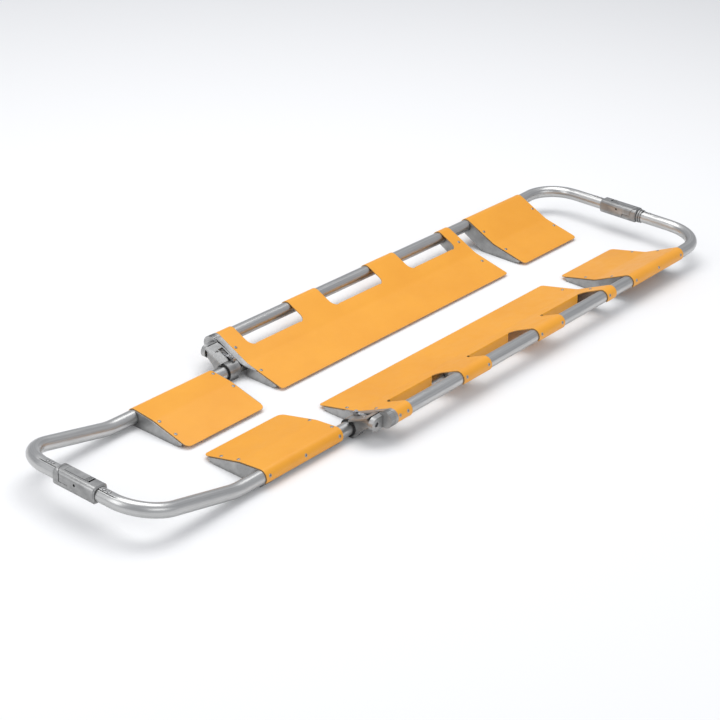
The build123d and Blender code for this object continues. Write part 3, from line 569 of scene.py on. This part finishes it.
def folded_section(inner, knee, centre, stops):
    """Stations (y, z) from the inner edge to the landing, then on round the rail."""
    angle = landing_angle(knee, centre)
    landing = (
        centre[0] + WRAP_R * cos(radians(angle)),
        centre[1] + WRAP_R * sin(radians(angle)),
    )
    bend = centreline([(0, *inner), (0, *knee), (0, *landing)], [KNEE_R], 2.5, 1.0)
    known = np.array([(p.y, p.z) for p in bend])
    ys = sorted(set(np.round([*known[:, 0], *stops], 7)))
    flat = [(y, float(np.interp(y, known[:, 0], known[:, 1]))) for y in ys]
    turns = np.linspace(angle, WRAP_END, 30)[1:]
    wrap = [
        (centre[0] + WRAP_R * cos(radians(a)), centre[1] + WRAP_R * sin(radians(a)))
        for a in turns
    ]
    return flat, wrap


# %% [markdown]
# The outline is laid out flat. Hand slots are open towards the rail, with rounded inner corners,
# so a corner square is filled by a fan of quads between the square's outer sides and the arc. The
# free inner corners of the sheet are rounded by pushing their grid points onto an arc.

# %% A panel as a grid
CORNER_STEPS = 5
LIP_REACH = 5.9 * mm  # how far the folded lip leans out from the slot's edge
LIP_BOTTOM = 20 * mm


def stations(fixed, longest):
    """Sorted values with no gap longer than longest."""
    fixed = sorted(set(round(v, 7) for v in fixed))
    out = [fixed[0]]
    for value in fixed[1:]:
        count = max(1, int(np.ceil((value - out[-1]) / longest - 1e-6)))
        start = out[-1]
        out += [start + (value - start) * (i + 1) / count for i in range(count)]
    return out


def corner_steps(start, end):
    """Evenly spaced stations across a rounded corner."""
    return list(np.linspace(start, end, CORNER_STEPS + 1))


class Sheet:
    """One panel, laid out flat and then folded."""

    def __init__(self, name, knee, centre, corner_r, slots=(), slot_y=0.0, slot_r=0.0):
        low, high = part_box(name)
        self.name, self.centre, self.slots = name, centre, slots
        self.ends, self.inner_y = (low.x, high.x), low.y
        self.corner_r, self.slot_y, self.slot_r = corner_r, slot_y, slot_r
        stops = corner_steps(low.y, low.y + corner_r)
        xs = corner_steps(low.x, low.x + corner_r) + corner_steps(high.x - corner_r, high.x)
        for a, b in slots:
            xs += corner_steps(a, a + slot_r) + corner_steps(b - slot_r, b)
        if slots:
            stops += corner_steps(slot_y, slot_y + slot_r)
        inner = (low.y, INNER_Z[name.split("_", 1)[1]])
        self.flat, self.wrap = folded_section(inner, knee, centre, stops)
        self.xs = stations(xs, 18 * mm)
        self.bm = bmesh.new()
        self.made = {}

    def height(self, y):
        """Height of the folded sheet at y, inboard of the rail."""
        ys, zs = zip(*self.flat)
        return float(np.interp(y, ys, zs))

    def point(self, x, y, z):
        """The mesh vertex at a place, made once."""
        key = (round(x, 6), round(y, 6), round(z, 6))
        if key not in self.made:
            self.made[key] = self.bm.verts.new((x, y, z))
        return self.made[key]

    def rounded(self, x, y):
        """A flat place pushed inside the rounded inner corners of the sheet."""
        r = self.corner_r
        for end, way in zip(self.ends, (1, -1)):
            a = (end + way * r - x) * way
            b = self.inner_y + r - y
            if a > 1e-7 and b > 1e-7:
                pull = max(a, b) / hypot(a, b)
                return end + way * (r - a * pull), self.inner_y + r - b * pull
        return x, y

    def in_slot(self, x):
        """The slot whose x range holds x, or None."""
        return next((s for s in self.slots if s[0] < x < s[1]), None)

    def grid(self):
        """Fill every cell of the outline that isn't open."""
        rows = [(y, z, False) for y, z in self.flat] + [(y, z, True) for y, z in self.wrap]
        for x0, x1 in zip(self.xs, self.xs[1:]):
            slot = self.in_slot((x0 + x1) / 2)
            for (y0, z0, _), (y1, z1, wrapped) in zip(rows, rows[1:]):
                if slot and (wrapped or (y0 + y1) / 2 > self.slot_y):
                    continue
                loop = [(x0, y0, z0), (x1, y0, z0), (x1, y1, z1), (x0, y1, z1)]
                if not wrapped:
                    loop = [(*self.rounded(x, y), 0) for x, y, z in loop]
                    loop = [(x, y, self.height(y)) for x, y, _ in loop]
                self.bm.faces.new([self.point(*p) for p in loop])

    def slot_corner(self, edge, way):
        """Fan of quads round one inner corner of a slot; way is +1 at its low-x end."""
        r = self.slot_r
        middle = (edge + way * r, self.slot_y + r)
        side = [(edge, y) for y in reversed(corner_steps(self.slot_y, self.slot_y + r))]
        side += [(x, self.slot_y) for x in corner_steps(edge, edge + way * r)[1:]]
        arc = [
            (middle[0] - way * r * cos(t), middle[1] - r * sin(t))
            for t in np.linspace(0, pi / 2, len(side))
        ]
        for i in range(len(side) - 1):
            loop = [side[i], side[i + 1], arc[i + 1], arc[i]]
            if way < 0:
                loop.reverse()
            points = []
            for x, y in loop:
                vert = self.point(x, y, self.height(y))
                if vert not in points:
                    points.append(vert)
            self.bm.faces.new(points)

    def lip(self, slot):
        """The sheet folded down along a slot's inner edge."""
        start, end = slot[0] + self.slot_r, slot[1] - self.slot_r
        xs = [x for x in self.xs if start - 1e-6 <= x <= end + 1e-6]
        top = self.height(self.slot_y)
        before = self.slot_y - 4 * mm
        slope = (top - self.height(before)) / (4 * mm)
        fold = [
            (self.slot_y, top),
            (self.slot_y + 1.3 * mm, top + 1.3 * mm * slope - 0.35 * mm),
            (self.slot_y + 2.4 * mm, top - 1.6 * mm),
            (self.slot_y + 3.2 * mm, top - 4.2 * mm),
            (self.slot_y + LIP_REACH - 1.2 * mm, LIP_BOTTOM + 4 * mm),
            (self.slot_y + LIP_REACH, LIP_BOTTOM),
        ]
        ease = 7 * mm  # the lip is cut back at its two ends
        for (y0, z0), (y1, z1), share in zip(fold, fold[1:], np.linspace(0, 1, 5)):
            step = share * ease / 2
            after = min(1, share + 0.25) * ease / 2
            ends = [(xs[0] + step, xs[0] + after), (xs[-1] - step, xs[-1] - after)]
            row0 = [ends[0][0], *[x for x in xs[1:-1]], ends[1][0]]
            row1 = [ends[0][1], *[x for x in xs[1:-1]], ends[1][1]]
            for i in range(len(row0) - 1):
                loop = [
                    (row0[i], y0, z0),
                    (row0[i + 1], y0, z0),
                    (row1[i + 1], y1, z1),
                    (row1[i], y1, z1),
                ]
                self.bm.faces.new([self.point(*p) for p in loop])

    def mesh(self):
        """The finished open sheet, with the distance to its edge in each point."""
        self.grid()
        for slot in self.slots:
            self.slot_corner(slot[0], 1)
            self.slot_corner(slot[1], -1)
            self.lip(slot)
        for vert in [v for v in self.bm.verts if not v.link_faces]:
            self.bm.verts.remove(vert)
        edge = [v.co.copy() for v in self.bm.verts if v.is_boundary]
        tree = KDTree(len(edge))
        for i, spot in enumerate(edge):
            tree.insert(spot, i)
        tree.balance()
        inset = [tree.find(v.co)[2] for v in self.bm.verts]
        mesh = bpy.data.meshes.new(self.name + "_sheet")
        self.bm.to_mesh(mesh)
        self.bm.free()
        mesh.attributes.new("inset", "FLOAT", "POINT").data.foreach_set("value", inset)
        return mesh


# %% [markdown]
# The slots' places along the rail are read from the record, which states them as openings. Both
# halves come from one sheet: the right one is its mirror image.

# %% Make the panels
SLOT_Y = 153.8 * mm
SLOT_CORNER_R = 14 * mm
OPENING_MARGIN = 2.5 * mm  # the record's boxes stop short of the slot's two ends

slot_ends = sorted(
    (o["box_m"][0][0] - OPENING_MARGIN, o["box_m"][1][0] + OPENING_MARGIN)
    for o in frame["record"]["physics"]["openings"]
    if o["name"].startswith("left_")
)


def add_panel(kind, knee, centre, corner_r, **slots):
    """Both halves' panels of one kind."""
    made = Sheet("left_" + kind, knee, centre, corner_r, **slots).mesh()
    for side, mesh in zip(SIDES, (made, mirror_mesh(made, "right_" + kind))):
        piece = object_from(f"{side}_{kind}_sheet", mesh)
        thickness = piece.modifiers.new("sheet", "SOLIDIFY")
        thickness.thickness = SHEET
        thickness.offset = -1.0
        thickness.use_even_offset = True
        soften(piece, 0.35 * mm, 50)
        stand_for(piece, f"{side}_{kind}")
    print(kind, "has", len(made.polygons), "faces before it is thickened")


add_panel(
    "main_panel", MAIN_KNEE, MAIN_RAIL, 6 * mm,
    slots=slot_ends, slot_y=SLOT_Y, slot_r=SLOT_CORNER_R,
)
add_panel("head_panel", MAIN_KNEE, MAIN_RAIL, 9 * mm)
add_panel("foot_panel", FOOT_KNEE, FOOT_RAIL, 11 * mm)

# %% [markdown]
# ## Bent tubes
#
# The rails and bows are one-inch tube. A curve with a round bevel is the quickest tube, but it
# can't carry the flutes that are pressed in beside the couplings. So rings of points are set along
# the line, and the rings near a coupling are pressed in by a formula of the angle round the tube.

# %% Tube helpers
RING = 72
TUBE_WALL = 2.0 * mm


def ring_frames(line):
    """A pair of cross directions at each point of a line, carried along without twist."""
    tangents = []
    for i in range(len(line)):
        ahead = line[min(i + 1, len(line) - 1)] - line[max(i - 1, 0)]
        tangents.append(ahead.normalized())
    side = tangents[0].cross(Vector((0, 0, 1))).normalized()
    frames = []
    for i, tangent in enumerate(tangents):
        if i:
            side = tangents[i - 1].rotation_difference(tangent) @ side
        frames.append((side, side.cross(tangent).normalized()))
    return frames


def tube_mesh(name, line, press):
    """A tube with a wall, open at both ends; press moves the points of its outer skin."""
    frames = ring_frames(line)
    along = np.cumsum([0] + [(b - a).length for a, b in zip(line, line[1:])])
    verts, drawn = [], []
    for radius, pressed in ((TUBE_R, True), (TUBE_R - TUBE_WALL, False)):
        for centre, (side, over), travelled in zip(line, frames, along):
            for i in range(RING):
                t = 2 * pi * i / RING
                spot = centre + radius * (cos(t) * side + sin(t) * over)
                verts.append(press(spot, centre) if pressed else spot)
                drawn.append((radius * cos(t), radius * sin(t), travelled))
    faces = []
    inner = len(line) * RING
    for i in range(len(line) - 1):
        for j in range(RING):
            k = (j + 1) % RING
            a, b = i * RING, (i + 1) * RING
            faces.append((a + j, a + k, b + k, b + j))
            faces.append((inner + b + j, inner + b + k, inner + a + k, inner + a + j))
    last = (len(line) - 1) * RING
    for j in range(RING):
        k = (j + 1) % RING
        faces.append((inner + j, inner + k, k, j))
        faces.append((last + j, last + k, inner + last + k, inner + last + j))
    mesh = bpy.data.meshes.new(name)
    mesh.from_pydata(verts, [], faces)
    mesh.attributes.new("drawn", "FLOAT_VECTOR", "POINT").data.foreach_set(
        "vector", np.array(drawn, np.float32).ravel()
    )
    bm = bmesh.new()
    bm.from_mesh(mesh)
    bmesh.ops.recalc_face_normals(bm, faces=bm.faces)
    bm.to_mesh(mesh)
    bm.free()
    return mesh


# %% [markdown]
# Beside each coupling the crossbar has a long narrow flat on top, where the rivets sit, and a
# groove along the flat's outer edge. Both fade out towards the corner of the bow.

# %% The pressed flats
FLAT_HALF_ANGLE = 20.0
GROOVE_WIDTH = 5.0
GROOVE_DEPTH = 1.8 * mm
FLUTE_END = 92 * mm
FADE = 14 * mm


def fade(value, start, end):
    """0 before start and 1 after end, with an even slope between."""
    t = min(1.0, max(0.0, (value - start) / (end - start)))
    return t * t * (3 - 2 * t)


def flute_press(bar_x, bar_z, outward):
    """Presses the top of a crossbar; outward is the way, along x, that faces the open air."""

    def press(spot, centre):
        y = abs(centre.y)
        if y > FLUTE_END or abs(centre.x - bar_x) > 1 * mm:
            return spot
        strength = 1 - fade(y, FLUTE_END - FADE, FLUTE_END)
        dx, dz = (spot.x - bar_x) * outward, spot.z - bar_z
        angle = degrees(np.arctan2(dx, dz))
        radius = TUBE_R
        if abs(angle) < FLAT_HALF_ANGLE:
            flat = TUBE_R * cos(radians(FLAT_HALF_ANGLE)) / cos(radians(angle))
            radius -= (TUBE_R - flat) * strength
        groove = np.exp(-(((angle - FLAT_HALF_ANGLE - 3) / GROOVE_WIDTH) ** 2) * 1.6)
        radius -= GROOVE_DEPTH * groove * strength
        away = (spot - centre).normalized()
        return centre + away * radius

    return press


# %% Make the tubes
bow_head_x, bow_head_z = rail_high.x - TUBE_R, rail_high.z - TUBE_R
bow_foot_x, bow_foot_z = tube_low.x + TUBE_R, tube_high.z - TUBE_R
HEAD_RISE_X = 722 * mm
HEAD_CORNER_Z = 49 * mm
BAR_STRAIGHT_Y = 120 * mm
BAR_INNER_Y = 40 * mm
FOOT_RISE_X = -616.8 * mm
FOOT_CORNER_Y = 141.4 * mm
HEAD_CORNER = (
    Vector((HEAD_RISE_X, *MAIN_RAIL)),
    Vector((bow_head_x, MAIN_RAIL[0], HEAD_CORNER_Z)),
    Vector((bow_head_x, BAR_STRAIGHT_Y, bow_head_z)),
)
FOOT_CORNER = (
    Vector((FOOT_RISE_X, *FOOT_RAIL)),
    Vector((bow_foot_x, FOOT_CORNER_Y, bow_foot_z)),
)
HEAD_RADII = (100 * mm, 70 * mm, 100 * mm)
FOOT_RADII = (120 * mm, 66.6 * mm)


def add_tube(kind, start, corners, bar, radii, outward):
    """Both halves' tubes of one kind."""
    ends = [start, *corners, Vector((bar[0], BAR_INNER_Y, bar[1]))]
    line = centreline(ends, radii, 4.0, 9 * mm)
    made = tube_mesh("left_" + kind, line, flute_press(*bar, outward))
    for side, mesh in zip(SIDES, (made, mirror_mesh(made, "right_" + kind))):
        piece = object_from(f"{side}_{kind}_drawn", mesh, 30)
        if kind == "foot_tube":
            drill_lock_holes(piece, 1 if side == "left" else -1)
        stand_for(piece, f"{side}_{kind}")
    length = sum((b - a).length for a, b in zip(line, line[1:]))
    print(kind, "is", round(length, 3), "m of tube, with", len(made.polygons), "faces")


LOCK_HOLES = 5
LOCK_HOLE_R = 3.3 * mm
plunger_low, plunger_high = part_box("left_lock_plunger")
slide = next(j for j in frame["joints"] if j["name"] == "left_foot_slide")
slide_travel = slide["range_m"][1]


def drill_lock_holes(piece, way):
    """Cut the row of lock holes in the top of the sliding tail."""
    bm = bmesh.new()
    first = (plunger_low.x + plunger_high.x) / 2
    for i in range(LOCK_HOLES):
        spot = Vector((first + slide_travel * i / (LOCK_HOLES - 1), way * FOOT_RAIL[0], 0))
        spot.z = FOOT_RAIL[1] + TUBE_R
        bmesh.ops.create_cone(
            bm, cap_ends=True, segments=40, radius1=LOCK_HOLE_R, radius2=LOCK_HOLE_R,
            depth=9 * mm, matrix=Matrix.Translation(spot),
        )
    cutter_mesh = bpy.data.meshes.new("drill")
    bm.to_mesh(cutter_mesh)
    bm.free()
    cutter = bpy.data.objects.new("drill", cutter_mesh)
    bpy.context.scene.collection.objects.link(cutter)
    cut = piece.modifiers.new("holes", "BOOLEAN")
    cut.operation = "DIFFERENCE"
    cut.solver = "EXACT"
    cut.object = cutter
    bake_modifiers(piece)
    bpy.data.objects.remove(cutter)


add_tube(
    "side_rail", Vector((rail_low.x, *MAIN_RAIL)), HEAD_CORNER,
    (bow_head_x, bow_head_z), HEAD_RADII, -1,
)
add_tube(
    "foot_tube", Vector((tube_high.x, *FOOT_RAIL)), FOOT_CORNER,
    (bow_foot_x, bow_foot_z), FOOT_RADII, -1,
)

# %% [markdown]
# ## Castings and levers
#
# The castings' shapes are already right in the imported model, but its edges are knife sharp and its
# flat faces are split into triangles. The triangles are merged back into whole faces, and a narrow
# bevel rounds each edge. A voxel remesh would also soften the edges, but it would melt the pin
# holes and the thin rims.

# %% Softened copies
def softened_copy(node, width, angle=28.0):
    """A piece with a CAD node's shape, whole faces and rounded edges."""
    bm = bmesh.new()
    bm.from_mesh(frame["nodes"][node].data)
    bmesh.ops.remove_doubles(bm, verts=bm.verts, dist=0.004 * mm)
    bmesh.ops.dissolve_limit(
        bm, angle_limit=radians(0.6), verts=bm.verts, edges=bm.edges, use_dissolve_boundaries=False
    )
    mesh = bpy.data.meshes.new(node + "_softened")
    bm.to_mesh(mesh)
    bm.free()
    piece = object_from(node + "_finished", mesh, 30)
    soften(piece, width, angle)
    return stand_for(piece, node)


EDGE_WIDTH = {
    "casting": 0.55 * mm, "lever": 0.4 * mm, "steel": 0.25 * mm, "nylon": 0.3 * mm,
}
copied = 0
for node, slot in SLOT_OF.items():
    if slot in EDGE_WIDTH:
        softened_copy(node, EDGE_WIDTH[slot])
        copied += 1
print("softened copies:", copied)

# %% [markdown]
# ## Blind rivets
#
# A blind rivet has a wide domed head with a hole where its mandrel broke off. The places come from
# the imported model: each rivet there is a separate island of points, and the thinnest direction of
# an island is the rivet's axis. A small profile is then turned round that axis.

# %% Rivets
RIVET_PROFILE = (  # radius and height above the seat, in millimetres
    (3.2, -0.35), (3.2, 0.25), (3.05, 0.52), (2.6, 0.82), (2.0, 1.06), (1.5, 1.16),
    (1.22, 1.1), (1.1, 0.9), (1.05, 0.35), (0.0, 0.3),
)
RIVET_SEGMENTS = 28


def islands(mesh):
    """Groups of points that are joined to each other, as arrays."""
    bm = bmesh.new()
    bm.from_mesh(mesh)
    bmesh.ops.remove_doubles(bm, verts=bm.verts, dist=0.004 * mm)
    left, found = set(bm.verts), []
    while left:
        queue, group = [left.pop()], []
        while queue:
            vert = queue.pop()
            group.append(vert.co.copy())
            for edge in vert.link_edges:
                other = edge.other_vert(vert)
                if other in left:
                    left.remove(other)
                    queue.append(other)
        found.append(np.array(group))
    bm.free()
    return found


def turned(bm, profile, segments, place):
    """Turn a profile of (radius, height) round the z axis of a placement matrix."""
    rows = []
    for radius, height in profile:
        if radius == 0:
            rows.append([bm.verts.new(place @ Vector((0, 0, height)))])
            continue
        rows.append(
            [
                bm.verts.new(
                    place @ Vector((radius * cos(t), radius * sin(t), height))
                )
                for t in np.linspace(0, 2 * pi, segments, endpoint=False)
            ]
        )
    for low, high in zip(rows, rows[1:]):
        for i in range(segments):
            j = (i + 1) % segments
            upper = [high[j], high[i]] if len(high) > 1 else [high[0]]
            bm.faces.new([low[i], low[j], *upper])
    bm.faces.new(list(reversed(rows[0])))


def add_rivets(node):
    """Finished rivets in place of one node's plain heads."""
    groups = islands(frame["nodes"][node].data)
    bm = bmesh.new()
    for group in groups:
        spread_out = group - group.mean(0)
        axis = Vector(np.linalg.svd(spread_out, full_matrices=False)[2][2])
        if axis.z < 0:
            axis.negate()
        top = max(spread_out @ np.array(axis)) + group.mean(0) @ np.array(axis)
        seat = Vector(group.mean(0)) + axis * (
            top - group.mean(0) @ np.array(axis) - 1.2 * mm
        )
        turn = Vector((0, 0, 1)).rotation_difference(axis).to_matrix().to_4x4()
        profile = [(r * mm, h * mm) for r, h in RIVET_PROFILE]
        turned(bm, profile, RIVET_SEGMENTS, Matrix.Translation(seat) @ turn)
    mesh = bpy.data.meshes.new(node + "_turned")
    bm.to_mesh(mesh)
    bm.free()
    stand_for(object_from(node + "_turned", mesh, 40), node)
    return len(groups)


print("rivets:", sum(add_rivets(n) for n, s in SLOT_OF.items() if s == "rivet"))

# %% [markdown]
# ## Springs
#
# A spring is a wire wound in a helix. A curve with a bevel would do, but a mesh swept along the
# helix gives closed ends. The latch springs are squeezed when their lever is pressed; here each is
# wound at its resting length.

# %% Springs
WIRE_SEGMENTS = 12


def coil_mesh(name, middle, axis, radius, wire, length, turns):
    """Wire of radius wire wound round an axis that starts at middle."""
    steps = int(turns * 28)
    turn = Vector((0, 0, 1)).rotation_difference(axis).to_matrix()
    line = []
    for i in range(steps + 1):
        t = 2 * pi * turns * i / steps
        height = wire + (length - 2 * wire) * i / steps
        line.append(middle + turn @ Vector((radius * cos(t), radius * sin(t), height)))
    verts, faces = [], []
    for centre, (side, over) in zip(line, ring_frames(line)):
        for i in range(WIRE_SEGMENTS):
            t = 2 * pi * i / WIRE_SEGMENTS
            verts.append(centre + wire * (cos(t) * side + sin(t) * over))
    for i in range(steps):
        for j in range(WIRE_SEGMENTS):
            k = (j + 1) % WIRE_SEGMENTS
            a, b = i * WIRE_SEGMENTS, (i + 1) * WIRE_SEGMENTS
            faces.append((a + j, a + k, b + k, b + j))
    last = steps * WIRE_SEGMENTS
    faces.append(tuple(reversed(range(WIRE_SEGMENTS))))
    faces.append(tuple(range(last, last + WIRE_SEGMENTS)))
    mesh = bpy.data.meshes.new(name)
    mesh.from_pydata(verts, [], faces)
    bm = bmesh.new()
    bm.from_mesh(mesh)
    bmesh.ops.recalc_face_normals(bm, faces=bm.faces)
    bm.to_mesh(mesh)
    bm.free()
    return mesh


def add_spring(node, axis, wire, turns):
    """A wound spring that fills the space of a CAD spring."""
    low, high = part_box(node)
    axis = Vector(axis)
    middle = (low + high) / 2
    length = abs((high - low).dot(axis))
    radius = (high.y - low.y) / 2 - wire
    start = middle - axis * (length / 2)
    mesh = coil_mesh(node + "_coil", start, axis, radius, wire, length, turns)
    piece = object_from(node + "_coil", mesh, 60)
    stand_for(piece, node)
    return piece


for side in SIDES:
    add_spring(f"{side}_lock_lever_spring", (1, 0, 0), 0.35 * mm, 2.5)
for joint in frame["joints"]:
    for entry in joint.get("deforming_nodes", []):
        node = entry["node"]
        spring = add_spring(node, (0, 0, 1), 0.5 * mm, 4.5)
        low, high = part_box(node)
        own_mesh(spring)
        print(node, "flattens with", joint["name"])

# %% [markdown]
# ## The sizes
#
# The box of the finished pieces is printed, to set beside the imported model's box printed at the start.
# The finished pieces may not grow out of the imported model's box.

# %% Sizes and the end
low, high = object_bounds()
print("visual box:", [round(v, 4) for v in high - low])
